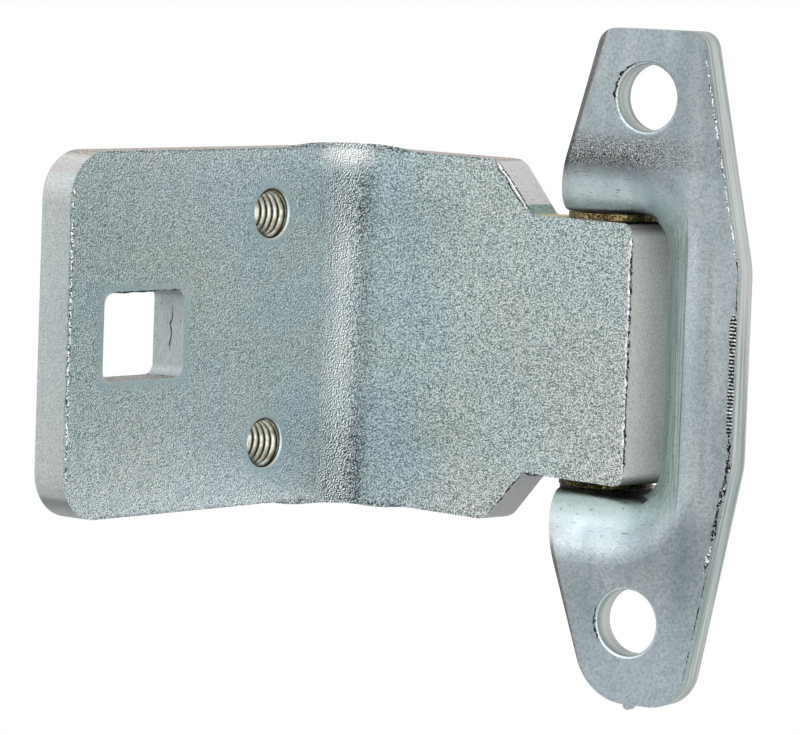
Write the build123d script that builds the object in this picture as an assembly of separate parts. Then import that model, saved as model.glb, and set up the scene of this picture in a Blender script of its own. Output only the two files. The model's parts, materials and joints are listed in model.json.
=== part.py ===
from build123d import *
import os
from math import asin, atan2, cos, degrees, hypot, pi, radians, sin, sqrt, tan

# Car door hinge: a thick cranked door leaf turns on a pin held by the ears of a pressed pillar leaf.
# Millimetres, +Z up along the pin. The origin is midway between the two bolt holes, on the face that
# seats on the pillar (Y = 0); the flange faces -Y, and the pin stands behind it.

# Pin, fixed in the ears of the pillar leaf
pin_radius = 4.0
pin_head_radius = 6.2
pin_head_height = 2.6
pin_head_edge = 0.8
pin_rivet_radius = 5.4
pin_rivet_height = 1.8
pin_rivet_edge = 1.2
pin_ear_fit = 0.01

# Flanged bushes, pressed into the knuckle of the door leaf
bush_running_clearance = 0.04
bush_wall = 1.0
bush_fit = 0.01
bush_length = 14.0
bush_flange_radius = 7.4
bush_flange_thickness = 1.0
bush_end_play = 0.3

# Door leaf: a cranked plate with a knuckle that is flush with its front face
plate_thickness = 6.4
plate_height = 57.25
plate_corner_radius = 7.5
plate_back_edge_radius = 0.7
door_leg_length = 64.9
arm_length = 53.0
bend_turn = 96.0
bend_inner_radius = 5.0
bend_swell = 0.75
bend_swell_half_width = 11.0
knuckle_height = 40.8
knuckle_wall = 2.95
knuckle_reach = 11.2
knuckle_corner_radius = 2.0
knuckle_heel_radius = 6.0
knuckle_web_radius = 3.0
knuckle_root = 10.8
shoulder_start = 18.5
shoulder_outer_radius = 4.0
shoulder_inner_radius = 1.5
photo_angle = 13.9

# Holes of the door leaf, measured along the door leg from its crease
screw_radius = 4.0
screw_place = 18.1
screw_spacing = 36.9
screw_chamfer = 0.25
window_near = 38.3
window_length = 18.3
window_height = 13.8
window_corner_radius = 1.8
hole_row_drop = 0.35

# Pillar leaf: one drawn sheet, a flange whose opening rolls back into two ears and a web
sheet = 4.0
draw_radius = 10.0
draw_corner_radius = 5.5
swing_clearance = 1.64
ear_radius = 7.2
ear_edge_slope = 0.32
bolt_hole_radius = 5.1
bolt_hole_edge_radius = 0.5
bolt_spacing = 80.4
pin_beside_bolts = 14.45
pin_behind_seat = 13.5
rim_width = 6.35
rim_straight_half = 15.0
waist_beside_pin = 1.05
top_margin = 10.4
top_left = 8.1
top_right = 9.8
top_corner_radius = 3.0
bottom_margin = 12.6
bottom_left = 6.35
bottom_right = 9.8
bottom_left_radius = 9.0
bottom_right_radius = 6.5
rim_corner_radius = 14.0
nib_radius = 0.8
nib_place = 0.8
nib_thickness = 1.4

# Sizes that follow from the above
bush_bore = pin_radius + bush_running_clearance
bush_outer = bush_bore + bush_wall
knuckle_bore = bush_outer + bush_fit
knuckle_radius = knuckle_bore + knuckle_wall
knuckle_half = knuckle_height / 2
plate_half = plate_height / 2
ear_face = knuckle_half + bush_flange_thickness + bush_end_play
ear_outside = ear_face + sheet
web_reach = hypot(knuckle_reach, knuckle_radius) + swing_clearance
roll_start = ear_face + draw_radius
beyond = 2 * (plate_height + door_leg_length + arm_length + bolt_spacing)

pin_x = -pin_beside_bolts
pin_y = pin_behind_seat
front_y = -sheet

on_base = (Align.CENTER, Align.CENTER, Align.MIN)


def nearest_edge(shape, point):
    # The straight edge whose middle lies nearest to a point
    return shape.edges().filter_by(GeomType.LINE).sort_by(lambda edge: (edge.center() - point).length)[0]


def make_pin():
    shank = Cylinder(pin_radius, 2 * ear_outside)
    head = Pos(0, 0, ear_outside + pin_head_height / 2) * Cylinder(pin_head_radius, pin_head_height)
    head = fillet(head.edges().sort_by(Axis.Z)[-1], pin_head_edge)
    rivet = Pos(0, 0, -ear_outside - pin_rivet_height / 2) * Cylinder(pin_rivet_radius, pin_rivet_height)
    rivet = fillet(rivet.edges().sort_by(Axis.Z)[0], pin_rivet_edge)
    return Pos(pin_x, pin_y, 0) * (shank + head + rivet)


def make_bush():
    # Upper bush: the sleeve goes down into the knuckle, and the flange lies on the knuckle's top face.
    sleeve = Pos(0, 0, knuckle_half - bush_length / 2) * Cylinder(bush_outer, bush_length)
    flange_middle = knuckle_half + bush_flange_thickness / 2
    flange = Pos(0, 0, flange_middle) * Cylinder(bush_flange_radius, bush_flange_thickness)
    return Pos(pin_x, pin_y, 0) * (sleeve + flange - Cylinder(bush_bore, beyond))


# The door leaf is drawn with the pin at the origin: the arm runs along -X, and its front face looks
# along -Y, one knuckle radius in front of the pin.
bend_angle = radians(bend_turn)
door_normal = Vector(sin(bend_angle), -cos(bend_angle))
door_along = Vector(door_normal.Y, -door_normal.X)
arm_normal = Vector(0, -1)
crease = Vector(-arm_length, -knuckle_radius)
crease_back = crease - (door_normal + arm_normal) * (plate_thickness / (1 + door_normal.dot(arm_normal)))


def leaf_section():
    # The bent plate and the knuckle in one plan. The knuckle's heel is flat at its end, and rounded at the
    # back, round the bore.
    door_end = crease + door_along * door_leg_length
    corners = [
        Vector(0, -knuckle_radius),
        crease,
        door_end,
        door_end - door_normal * plate_thickness,
        crease_back,
        Vector(0, plate_thickness - knuckle_radius),
    ]
    plate = make_face(Polyline(*corners, close=True))
    inside = plate.vertices().sort_by_distance(crease)[0]
    plate = fillet(inside, bend_inner_radius)
    outside = plate.vertices().sort_by_distance(crease_back)[0]
    plate = fillet(outside, bend_inner_radius + plate_thickness)

    block = Pos(knuckle_reach / 2, 0) * Rectangle(knuckle_reach, 2 * knuckle_radius)
    heel = block.vertices().sort_by_distance((knuckle_reach, knuckle_radius))[0]
    section = plate + fillet(heel, knuckle_heel_radius) + Circle(knuckle_radius)
    back_of_plate = plate_thickness - knuckle_radius
    inner_corner = (-sqrt(knuckle_radius**2 - back_of_plate**2), back_of_plate)
    return fillet(section.vertices().sort_by_distance(inner_corner)[0], knuckle_web_radius)


def shoulder_cut():
    # The space above the knuckle, with a slanted shoulder; drawn in X and Z, cut right through along Y.
    corners = [
        (-shoulder_start, beyond),
        (-shoulder_start, plate_half),
        (-knuckle_root, knuckle_half),
        (beyond, knuckle_half),
        (beyond, beyond),
    ]
    face = make_face(Polyline(*corners, close=True))
    root = face.vertices().sort_by_distance((-knuckle_root, knuckle_half))[0]
    return extrude(Plane.XZ * fillet(root, shoulder_inner_radius), beyond, both=True)


def knuckle_corner_cut():
    # What the round corner leaves off, at the upper end of the knuckle
    middle = Pos(knuckle_reach - knuckle_corner_radius, knuckle_half - knuckle_corner_radius)
    corner = Rectangle(beyond, beyond, align=(Align.MIN, Align.MIN)) - Circle(knuckle_corner_radius)
    return extrude(Plane.XZ * middle * corner, beyond, both=True)


def door_leg_plane():
    # Local X runs along the door leg from the crease, local Y is +Z, and the normal points to the back.
    return Plane(origin=(crease.X, crease.Y, 0), x_dir=door_along, z_dir=door_normal * -1)


def swell(section):
    # Metal squeezed out at the inside of the bend: a shallow hump on the edge that dies out towards the
    # back, clear of the rounding there.
    inward = (crease_back - crease).normalized()
    half_bend = bend_angle / 2
    rounding = bend_inner_radius * (1 / cos(half_bend) - 1)
    forward = bend_swell_half_width * tan(half_bend) - rounding
    depth = plate_thickness - 2 * plate_back_edge_radius
    rise = bend_swell * (1 + forward / depth)
    hump_radius = bend_swell_half_width**2 / (2 * rise)
    fall = degrees(atan2(bend_swell, depth))
    top = crease - inward * rounding + Vector(0, 0, plate_half + bend_swell)
    ridge = Plane(origin=top, x_dir=(0, 0, 1), z_dir=inward)
    hump = ridge * Rot(0, -fall, 0) * Pos(-hump_radius, 0, 0) * Cylinder(hump_radius, beyond)
    strip = Pos(0, 0, plate_half - bend_swell) * extrude(section, 4 * bend_swell)
    return hump & strip


def make_door_leaf():
    section = leaf_section()
    cut = shoulder_cut()
    leaf = extrude(section, plate_half, both=True) - cut - mirror(cut, Plane.XY)

    end_back = crease + door_along * door_leg_length - door_normal * plate_thickness
    end_middle = end_back + door_normal * (plate_thickness / 2)
    end_corners = [end_middle + Vector(0, 0, side * plate_half) for side in (-1, 1)]
    leaf = fillet([nearest_edge(leaf, corner) for corner in end_corners], plate_corner_radius)
    plate_middle = plate_thickness / 2 - knuckle_radius
    shoulders = [Vector(-shoulder_start, plate_middle, side * plate_half) for side in (-1, 1)]
    leaf = fillet([nearest_edge(leaf, corner) for corner in shoulders], shoulder_outer_radius)
    hump = swell(section)
    leaf = leaf + hump + mirror(hump, Plane.XY)
    # One smooth line of edges runs round the whole back.
    leaf = fillet(nearest_edge(leaf, end_back), plate_back_edge_radius)
    corner = knuckle_corner_cut()
    leaf = leaf - corner - mirror(corner, Plane.XY) - Cylinder(knuckle_bore, beyond)

    leg = door_leg_plane()
    screw = Cylinder(screw_radius, 4 * plate_thickness)
    sink = Cone(screw_radius + screw_chamfer, screw_radius, screw_chamfer, align=on_base)
    for side in (-1, 1):
        place = leg * Pos(screw_place, side * screw_spacing / 2 - hole_row_drop, 0)
        leaf = leaf - place * screw - place * sink
    window = RectangleRounded(window_length, window_height, window_corner_radius)
    window_place = leg * Pos(window_near + window_length / 2, -hole_row_drop, 0)
    leaf = leaf - window_place * extrude(window, 2 * plate_thickness, both=True)
    return Pos(pin_x, pin_y, 0) * Rot(0, 0, -photo_angle) * leaf


def opening_face(grow):
    # The flange's opening in X and Z, open to the left
    high = ear_face + grow
    right = pin_x + web_reach + grow
    corners = [(-beyond, high), (right, high), (right, -high), (-beyond, -high)]
    face = make_face(Polyline(*corners, close=True))
    return fillet(face.vertices().sort_by(Axis.X)[-2:], draw_corner_radius + grow)


def rolled_block(face_y, grow, roll):
    # All the space behind a face of the flange and outside its opening, with the opening's mouth rounded:
    # two sides, two corners and the end.
    block = Pos(0, face_y + beyond / 2, 0) * Box(beyond, beyond, beyond)
    opened = block - extrude(Plane.XZ * opening_face(grow), 2 * beyond, both=True)
    mouth_face = opened.faces().filter_by(Axis.Y).sort_by(Axis.Y)[0]
    mouth = mouth_face.edges().sort_by_distance((pin_x + web_reach + grow, face_y, 0))[:5]
    return fillet(mouth, roll)


def flange_outline():
    # The left side is opened out between the roll lines, where the ears reach past it.
    top = bolt_spacing / 2 + top_margin
    bottom = -bolt_spacing / 2 - bottom_margin
    waist = pin_x + waist_beside_pin
    right = pin_x + web_reach + draw_radius + rim_width
    corners = [
        (-top_left, top),
        (top_right, top),
        (right, rim_straight_half),
        (right, -rim_straight_half),
        (bottom_right, bottom),
        (-bottom_left, bottom),
        (waist, -roll_start),
        (-beyond, -roll_start),
        (-beyond, roll_start),
        (waist, roll_start),
    ]
    radii = [top_corner_radius, top_corner_radius, rim_corner_radius, rim_corner_radius,
             bottom_right_radius, bottom_left_radius]
    face = make_face(Polyline(*corners, close=True))
    for corner, radius in zip(corners, radii):
        face = fillet(face.vertices().sort_by_distance(corner)[0], radius)
    return face


def ear_trim():
    # Everything to the left of the ears and behind them, past the end of the roll: the ear's edge runs
    # straight from the roll to a round end about the pin.
    start = Vector(roll_edge(pi / 2), front_y + draw_radius)
    to_pin = Vector(pin_x, pin_y) - start
    turn = atan2(to_pin.Y, to_pin.X) + asin(ear_radius / to_pin.length)
    touch = start + Vector(cos(turn), sin(turn)) * sqrt(to_pin.length**2 - ear_radius**2)
    back = pin_y + ear_radius
    keep = make_face(Polyline(
        start,
        touch,
        (pin_x, pin_y),
        (pin_x, back),
        (beyond, back),
        (beyond, start.Y),
        close=True,
    ))
    keep = keep + Pos(pin_x, pin_y) * Circle(ear_radius)
    around = Pos(0, start.Y + beyond) * Rectangle(2 * beyond, 2 * beyond)
    return extrude(around - keep, roll_start, both=True)


def roll_edge(turn):
    # X of the sheet's left edge at an angle round the roll: straight in the flat blank
    return pin_x + waist_beside_pin - ear_edge_slope * draw_radius * turn


def roll_trim():
    # Everything to the left of the sheet's edge round the upper roll; the cut stays square to the sheet.
    near = (draw_radius - sheet) / 2
    far = draw_radius + sheet
    sections = []
    for turn in (0, pi / 8, pi / 4, 3 * pi / 8, pi / 2):
        across = Vector(0, sin(turn), -cos(turn))
        plane = Plane(origin=(0, front_y + draw_radius, roll_start), x_dir=(1, 0, 0), z_dir=across)
        edge = roll_edge(turn)
        corners = [(-beyond, near), (edge, near), (edge, far), (-beyond, far)]
        sections.append(plane * make_face(Polyline(*corners, close=True)))
    return loft(sections)


def make_pillar_leaf():
    drawn = rolled_block(front_y, 0.0, draw_radius) - rolled_block(0.0, sheet, draw_radius - sheet)
    leaf = drawn & extrude(Plane.XZ * flange_outline(), beyond, both=True)
    leaf = leaf - ear_trim()
    edge = roll_trim()
    leaf = leaf - edge - mirror(edge, Plane.XY)
    bolt_hole = Rot(90, 0, 0) * Cylinder(bolt_hole_radius, 4 * sheet)
    for side in (-1, 1):
        place = Pos(0, front_y, side * bolt_spacing / 2)
        leaf = leaf - place * bolt_hole
        rims = leaf.edges().filter_by(GeomType.CIRCLE)
        leaf = fillet(rims.sort_by_distance(place.position)[0], bolt_hole_edge_radius)
    leaf = leaf - Pos(pin_x, pin_y, 0) * Cylinder(pin_radius + pin_ear_fit, beyond)
    nib = Rot(-90, 0, 0) * Cylinder(nib_radius, nib_thickness, align=on_base)
    return leaf + Pos(nib_place, front_y, -bolt_spacing / 2 - bottom_margin) * nib


upper_bush = make_bush()
pieces = {
    "door_leaf": make_door_leaf(),
    "pillar_leaf": make_pillar_leaf(),
    "hinge_pin": make_pin(),
    "upper_bush": upper_bush,
    "lower_bush": mirror(upper_bush, Plane.XY),
}
os.makedirs("parts", exist_ok=True)
for name, piece in pieces.items():
    export_step(piece, f"parts/{name}.step")
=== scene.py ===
import json
import math

import bmesh
import bpy
import numpy as np
from mathutils import Matrix


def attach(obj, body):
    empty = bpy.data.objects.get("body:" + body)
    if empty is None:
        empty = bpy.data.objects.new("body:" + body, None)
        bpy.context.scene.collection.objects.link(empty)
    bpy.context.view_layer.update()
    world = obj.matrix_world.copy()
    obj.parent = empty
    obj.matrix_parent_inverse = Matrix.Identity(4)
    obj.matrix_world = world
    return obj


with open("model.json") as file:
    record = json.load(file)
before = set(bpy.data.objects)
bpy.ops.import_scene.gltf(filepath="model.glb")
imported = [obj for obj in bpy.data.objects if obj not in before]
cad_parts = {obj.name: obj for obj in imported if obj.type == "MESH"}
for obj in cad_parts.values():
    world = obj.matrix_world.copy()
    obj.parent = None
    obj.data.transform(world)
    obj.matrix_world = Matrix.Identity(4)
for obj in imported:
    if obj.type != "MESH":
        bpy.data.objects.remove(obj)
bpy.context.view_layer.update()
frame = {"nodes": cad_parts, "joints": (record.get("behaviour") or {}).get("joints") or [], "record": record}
nodes = frame["nodes"]
mounts = {mount["name"]: mount for mount in frame["record"]["mounts"]}
tappedHoles = ("upper_screw", "lower_screw")
mm = 0.001
print("frame loaded:", ", ".join(sorted(nodes)))


def metres(sizes):  # from mm
    return [size * mm for size in sizes]


def heading(degrees):  # level unit vector at an angle from +X
    turn = math.radians(degrees)
    return np.array([math.cos(turn), math.sin(turn), 0.0])


def linear(code):  # sRGB hex to the linear colour that nodes take
    parts = np.array([int(code[i:i + 2], 16) for i in (1, 3, 5)]) / 255
    return (*np.where(parts <= 0.04045, parts / 12.92, ((parts + 0.055) / 1.055) ** 2.4), 1.0)


# One node with its settings and links; gives its output
def add(tree, kind, inputs=None, out=0, stops=None, **settings):
    made = tree.nodes.new("ShaderNode" + kind)
    for key, value in settings.items():
        setattr(made, key, value)
    for key, values in (inputs or {}).items():  # a tuple names several inputs
        pairs = zip(key, values) if isinstance(key, tuple) else [(key, values)]
        for socket, value in pairs:
            if isinstance(value, bpy.types.NodeSocket):
                tree.links.new(value, made.inputs[socket])
            else:
                made.inputs[socket].default_value = value
    for spot, (position, code) in enumerate(stops or ()):  # a colour ramp's stops
        bead = made.color_ramp.elements[spot] if spot < 2 else made.color_ramp.elements.new(1.0)
        bead.position, bead.color = position, linear(code)
    return made.outputs[out] if made.outputs else made


# Settings that many nodes share
smoothStep = {"interpolation_type": "SMOOTHSTEP"}
blending = {"data_type": "RGBA"}
tinting = {"data_type": "RGBA", "blend_type": "MULTIPLY"}
times, timesPlus, minus, largest, unsigned, beyond, dotted = ({"operation": kind} for kind in (
    "MULTIPLY", "MULTIPLY_ADD", "SUBTRACT", "MAXIMUM", "ABSOLUTE", "GREATER_THAN", "DOT_PRODUCT"))
noiseSpan = (0.3, 0.7)  # where most values of a noise lie


def newMaterial(name):
    material = bpy.data.materials.new(name)
    material.use_nodes = True
    material.node_tree.nodes.clear()
    return material, material.node_tree


# Lines of the bent door leaf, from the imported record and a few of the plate's own sizes
leaf = {
    "armAngle": -13.9,  # degrees, heading of the arm towards the knuckle
    "bendTurn": 96.0,  # degrees between the two front faces
    "threadEdge": 0.25,  # mm, chamfer in front of each tapped wall
    "frontFromPin": 8.0,  # mm, arm's front face to the pin's axis
    "legLength": 64.9,  # mm, crease to the sheared end
    "legBurrHalf": 23.4,  # mm, straight half of the sheared end
    "legEndFrom": 50.0,  # mm past the crease, where only the sheared end looks along the leg
    "knuckleReach": 11.2,  # mm, pin's axis to the knuckle's end face
    "knuckleBurrHalf": 18.4,  # mm, straight half of the knuckle's end
    "knuckleFrom": 55.0,  # mm past the crease, where only the knuckle's end looks along the arm
    "halfHeight": 28.6,  # mm
    "shoulderTop": (-18.4, 28.2),  # mm past the pin along the arm, and height
    "shoulderFoot": (-10.9, 20.8),
    "windowAlong": 47.45,  # mm, crease to the window's middle
    "windowDrop": -0.35,  # mm, height of that middle
    "windowSize": (18.3, 13.8),  # mm, along the leg and upright
}
pinAxis = np.array(frame["joints"][0]["pos_m"])
up = np.array([0.0, 0.0, 1.0])
armDir = heading(leaf["armAngle"])
armNormal = heading(leaf["armAngle"] - 90)
legNormal = heading(leaf["armAngle"] - 90 + leaf["bendTurn"])
legDir = heading(leaf["armAngle"] - 180 + leaf["bendTurn"])
screw = mounts["upper_screw"]
legFront = legNormal @ screw["pos_m"] + (screw["dims"]["length_mm"] / 2 + leaf["threadEdge"]) * mm
armFront = armNormal @ pinAxis + leaf["frontFromPin"] * mm
crease = np.append(np.linalg.solve([legNormal[:2], armNormal[:2]], [legFront, armFront]), 0.0)
print("crease at", np.round(crease / mm, 2), "mm")

# Lines of the drawn pillar leaf
flange = {
    "front": -4.0,  # mm, Y of the front face
    "rollStart": 31.7,  # mm from the middle, where the ears begin to roll
    "webStart": 10.95,  # mm, X where the web begins to roll
    "rim": ((9.8, 50.0), (17.3, 15.0), (17.3, -15.0), (9.8, -52.0)),  # X and Z down the right edge
}


# Quads of a grid whose columns wrap; its rows wrap too, or end in flat caps
def closedSurface(name, grid, wrapRows):
    rows, cols = grid.shape[:2]
    index = np.arange(rows * cols).reshape(rows, cols)
    lower, upper = (index, np.roll(index, -1, 0)) if wrapRows else (index[:-1], index[1:])
    faces = np.stack([lower, np.roll(lower, -1, 1), np.roll(upper, -1, 1), upper], -1)
    faces = faces.reshape(-1, 4).tolist()
    if not wrapRows:
        faces += [index[0].tolist(), index[-1].tolist()]
    mesh = bpy.data.meshes.new(name)
    mesh.from_pydata(grid.reshape(-1, 3).tolist(), [], faces)
    work = bmesh.new()
    work.from_mesh(mesh)
    bmesh.ops.recalc_face_normals(work, faces=work.faces)
    work.to_mesh(mesh)
    work.free()
    mesh.polygons.foreach_set("use_smooth", np.ones(len(mesh.polygons), bool))
    piece = bpy.data.objects.new(name, mesh)
    bpy.context.scene.collection.objects.link(piece)
    return piece


# Distance from a tapped hole's axis: the length of the offset from its middle crossed with the axis
def fromHoleAxis(tree, place, name):
    away = add(tree, "VectorMath", {0: place, 1: mounts[name]["pos_m"]}, **minus)
    away = add(tree, "VectorMath", {0: away, 1: mounts[name]["axis"]}, operation="CROSS_PRODUCT")
    return add(tree, "VectorMath", {0: away}, "Value", operation="LENGTH")


# Zinc-plated hot-rolled plate: an orange-peel grain under bright zinc with a thin blue passivation, and
# paler sheared edges. The eye gets blue grey that turns to warm grey in clouds and along the arm, painted
# white glints on one flank of each bump and painted shade on the other, smooth rings where tools pressed,
# painted shade and a painted highlight over the bend, and painted greenish shade in the corner over the
# knuckle.
plateLook = {
    "grain": 0.22,  # mm, width of one bump of the orange peel
    "grainDepth": 0.05,  # mm
    "grainBump": (0.8, -1.4),  # strength of the bumps, and its change in the bend's hollow
    "flank": (-0.06, -0.06, 0.06),  # mm, from a bump's flank painted dark towards the one painted light
    "flankGain": 3.0,
    "clouds": 17.0,  # mm, size of the warm and blue clouds
    "streak": 0.22,  # mm, lines down the sheared edges
    "stretch": (1.0, 1.0, 0.2),  # of these lines
    "fleck": 0.32,  # mm, dark flecks on the sheared edges
    "longEdge": (0.35, 0.6),  # upright share of the normal, where a long edge begins and is full
    "endFace": (0.5, 0.8),  # share along the plate, where the leg's and the knuckle's ends do
    "levelTop": (0.88, 0.96),  # upright share, where the upper edge's level part does
    "underside": (-0.2, -0.6, 0.55),  # the same for the lower edge, and how shaded it is
    "legEnd": (0.55, 0.24),  # how sheared the leg's end looks, and how shaded
    "shade": "#646b70",
    "windowWall": (0.12, 0.04),  # mm outside the window's sides, where its walls begin and are full
    "ring": (2.4, 0.2),  # mm, smoother border round window and holes, and the peel left at its start
    "bendZone": (0.6, 8.0),  # mm along the arm with painted shade, dark over a deeper peel
    "bendFade": (0.4, 1.6, 0.5),  # shares of these: it begins, is full, and begins to end
    "bendEnds": (9.0, 21.0),  # mm from the middle, where that band grows strong
    "bendShare": (0.35, 0.85),  # how dark it is in the middle and at both edges
    "offLeg": (7.0, 4.0),  # mm along the leg, where that band ends
    "edgeLine": (0.5, 0.7),  # mm, dark speckled line along the plate's long edges, and how dark
    "corner": (20.5, 21.9, 0.1),  # mm high, the inner corner over the knuckle, painted greenish as the shade of a fillet, and its soft border
    "cornerFrom": 36.0,  # mm past the crease
    "crease": (5.5, 3.0, 0.4),  # mm on each face, where the bend's hollow begins and is full; how dark its painted shade is
    "endDark": (18.4, 20.2, 0.85),  # mm from the middle, darker at both ends of the knuckle's end face
    "endDarkTone": "#2b2a27",
    "pale": (23.5, 27.5, 9.5),  # mm high, where a painted highlight patch over the bend begins and is full; its reach
    "paleShare": (0.85, 0.3),  # how pale, and the share of the reach that is full
    "face": ((0.18, "#5f6e73"), (0.42, "#b2c2c5"), (0.57, "#c8d7da"), (0.72, "#ffffff")),
    "smooth": ((0.30, "#b5c8cc"), (0.70, "#c4d2d4")),
    "edge": ((0.25, "#b6b6b4"), (0.50, "#c9c9c7"), (0.75, "#d9d8d6")),
    "top": ((0.34, "#4b4743"), (0.46, "#a39b95"), (0.62, "#c4bcb6")),
    "knuckle": ((0.30, "#cfd0ce"), (0.50, "#f6f7f5"), (0.70, "#ffffff")),
    "clouded": ((0.36, "#f8fcff"), (0.50, "#fdfefd"), (0.62, "#fffdfa")),
    # tones of the painted shade in the bend, and of the sheet's painted dark strip
    "shadeSpeckle": ((0.38, "#040506"), (0.51, "#3c4a4f"), (0.61, "#85979c"), (0.76, "#eef8fa")),
    "flecks": ((0.27, "#a39f99"), (0.35, "#ffffff")),
    "paled": ((0.20, "#8b9596"), (0.42, "#dfe3e0"), (0.60, "#fbfbf6"), (0.84, "#ffffff")),
    "topReflectAndShadow": (46.0, 51.0, "#b3ad86", "#2b2a27"),  # mm past the crease: on the knuckle's top, a painted brass reflection turning to painted shadow under the bush
    "windowTint": "#e6f0f5",  # bluer zinc on the window's walls
    "armBlue": (3.0, 7.0, "#dde8eb"),  # mm past the crease, where a blue cast fades in on the arm
    "armWarm": (14.0, 27.0, "#f4f2ec"),  # mm past the crease, where that cast turns warm
    "castShare": 0.6,
    "rough": (0.45, 0.32),  # pits and crests of the peel
    "hollowRough": 1.0,
    "shearedRough": 0.55,
    "shearedMetal": 0.6,
    "paleMetal": 0.2,
    "knuckleMetal": 0.3,
    "cornerShadeTone": ((0.30, "#566a63"), (0.65, "#9db3ab")),
}


def zincPlate():
    look = plateLook
    material, tree = newMaterial("zincPlate")
    place = add(tree, "TexCoord", out="Object")
    normal = add(tree, "TexCoord", out="Normal")
    fromCrease = add(tree, "VectorMath", {0: place, 1: crease}, **minus)
    alongLeg = add(tree, "VectorMath", {0: fromCrease, 1: legDir}, "Value", **dotted)
    alongArm = add(tree, "VectorMath", {0: fromCrease, 1: armDir}, "Value", **dotted)
    height = add(tree, "SeparateXYZ", {0: place}, "Z")
    high = add(tree, "Math", {0: height}, **unsigned)

    # Sheared faces: top and bottom edges, leg end, knuckle end and shoulders
    lift = add(tree, "SeparateXYZ", {0: normal}, "Z")
    shearTop = add(tree, "Math", {0: lift}, **unsigned)
    shearTop = add(tree, "MapRange", {0: shearTop, (1, 2): look["longEdge"]}, **smoothStep)
    endFace = add(tree, "VectorMath", {0: normal, 1: legDir}, "Value", **dotted)
    endFace = add(tree, "MapRange", {0: endFace, (1, 2): look["endFace"]}, **smoothStep)
    legEnd = add(tree, "Math", {0: alongLeg, 1: leaf["legEndFrom"] * mm}, **beyond)
    legEnd = add(tree, "Math", {0: endFace, 1: legEnd}, **times)
    legSheared, legShaded = look["legEnd"]
    halfSheared = add(tree, "Math", {0: legEnd, 1: legSheared}, **times)
    knuckleFace = add(tree, "VectorMath", {0: normal, 1: armDir}, "Value", **dotted)
    knuckleFace = add(tree, "MapRange", {0: knuckleFace, (1, 2): look["endFace"]}, **smoothStep)
    knuckleEnd = add(tree, "Math", {0: alongArm, 1: leaf["knuckleFrom"] * mm}, **beyond)
    knuckleEnd = add(tree, "Math", {0: knuckleFace, 1: knuckleEnd}, **times)
    sheared = add(tree, "Math", {0: halfSheared, 1: knuckleEnd}, **largest)
    sheared = add(tree, "Math", {0: sheared, 1: shearTop}, **largest)

    # Distance past the window's sides, and past each tapped hole's wall
    border = None
    for reach, middle, size in (
        (alongLeg, leaf["windowAlong"], leaf["windowSize"][0]),
        (height, leaf["windowDrop"], leaf["windowSize"][1]),
    ):
        past = add(tree, "Math", {0: reach, 1: middle * mm}, **minus)
        past = add(tree, "Math", {0: past}, **unsigned)
        past = add(tree, "Math", {0: past, 1: size / 2 * mm}, **minus)
        border = add(tree, "Math", {0: border, 1: past}, **largest) if border else past
    inWindow = add(tree, "MapRange", {0: border, (1, 2): metres(look["windowWall"])})
    sheared = add(tree, "Math", {0: sheared, 1: inWindow}, **largest)
    for name in tappedHoles:
        wall = mounts[name]["dims"]["r_mm"] * mm
        past = add(tree, "Math", {0: fromHoleAxis(tree, place, name), 1: wall}, **minus)
        border = add(tree, "Math", {0: border, 1: past}, operation="MINIMUM")
    ringWidth, ringPeel = look["ring"]
    peel = add(tree, "MapRange", {0: border, 1: 0.0, 2: ringWidth * mm, 3: ringPeel}, **smoothStep)
    faced = add(tree, "Math", {0: 1.0, 1: sheared}, **minus)
    peel = add(tree, "Math", {0: peel, 1: faced}, **times)

    # Painted shade: a dark band on the arm's side of the bend, strongest towards both edges, and darker
    # paint in the bend's hollow; also a dark line along the edges
    low, far = metres(look["bendZone"])
    begins, isFull, ending = look["bendFade"]
    bendShade = add(tree, "MapRange", {0: alongArm, 1: far, 2: far * ending}, **smoothStep)
    bendIn = add(tree, "MapRange", {0: alongArm, 1: low * begins, 2: low * isFull}, **smoothStep)
    offLeg = add(tree, "MapRange", {0: alongLeg, (1, 2): metres(look["offLeg"])}, **smoothStep)
    nearEdge = add(tree, "MapRange", {
        0: high, (1, 2): metres(look["bendEnds"]), (3, 4): look["bendShare"],
    }, **smoothStep)
    for mask in (bendIn, offLeg, nearEdge):
        bendShade = add(tree, "Math", {0: bendShade, 1: mask}, **times)
    lineWidth, lineShare = look["edgeLine"]
    onLine = add(tree, "MapRange", {
        0: high, 1: (leaf["halfHeight"] - lineWidth) * mm, 2: leaf["halfHeight"] * mm, 4: lineShare,
    })
    hollow = add(tree, "Math", {0: alongArm, 1: alongLeg}, **largest)
    hollow = add(tree, "MapRange", {
        0: hollow, (1, 2): metres(look["crease"][:2]), 4: look["crease"][2],
    }, **smoothStep)
    shadeAndEdgeLine = add(tree, "Math", {0: bendShade, 1: hollow}, **largest)
    # Painted highlight: a pale patch over the top of the bend, with less metal so it stays light
    paleLow, paleHigh, paleReach = metres(look["pale"])
    paleShare, paleCore = look["paleShare"]
    pale = add(tree, "MapRange", {0: height, 1: paleLow, 2: paleHigh, 4: paleShare}, **smoothStep)
    nearBend = add(tree, "VectorMath", {0: fromCrease, 1: (1.0, 1.0, 0.0)}, **times)
    nearBend = add(tree, "VectorMath", {0: nearBend}, "Value", operation="LENGTH")
    nearBend = add(tree, "MapRange", {0: nearBend, 1: paleReach, 2: paleCore * paleReach}, **smoothStep)
    pale = add(tree, "Math", {0: pale, 1: nearBend}, **times)
    unpaled = add(tree, "Math", {0: 1.0, 1: pale}, **minus)
    shadeAndEdgeLine = add(tree, "Math", {0: shadeAndEdgeLine, 1: unpaled}, **times)
    shadeAndEdgeLine = add(tree, "Math", {0: shadeAndEdgeLine, 1: onLine}, **largest)
    shadeAndEdgeLine = add(tree, "Math", {0: shadeAndEdgeLine, 1: faced}, **times)
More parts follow.
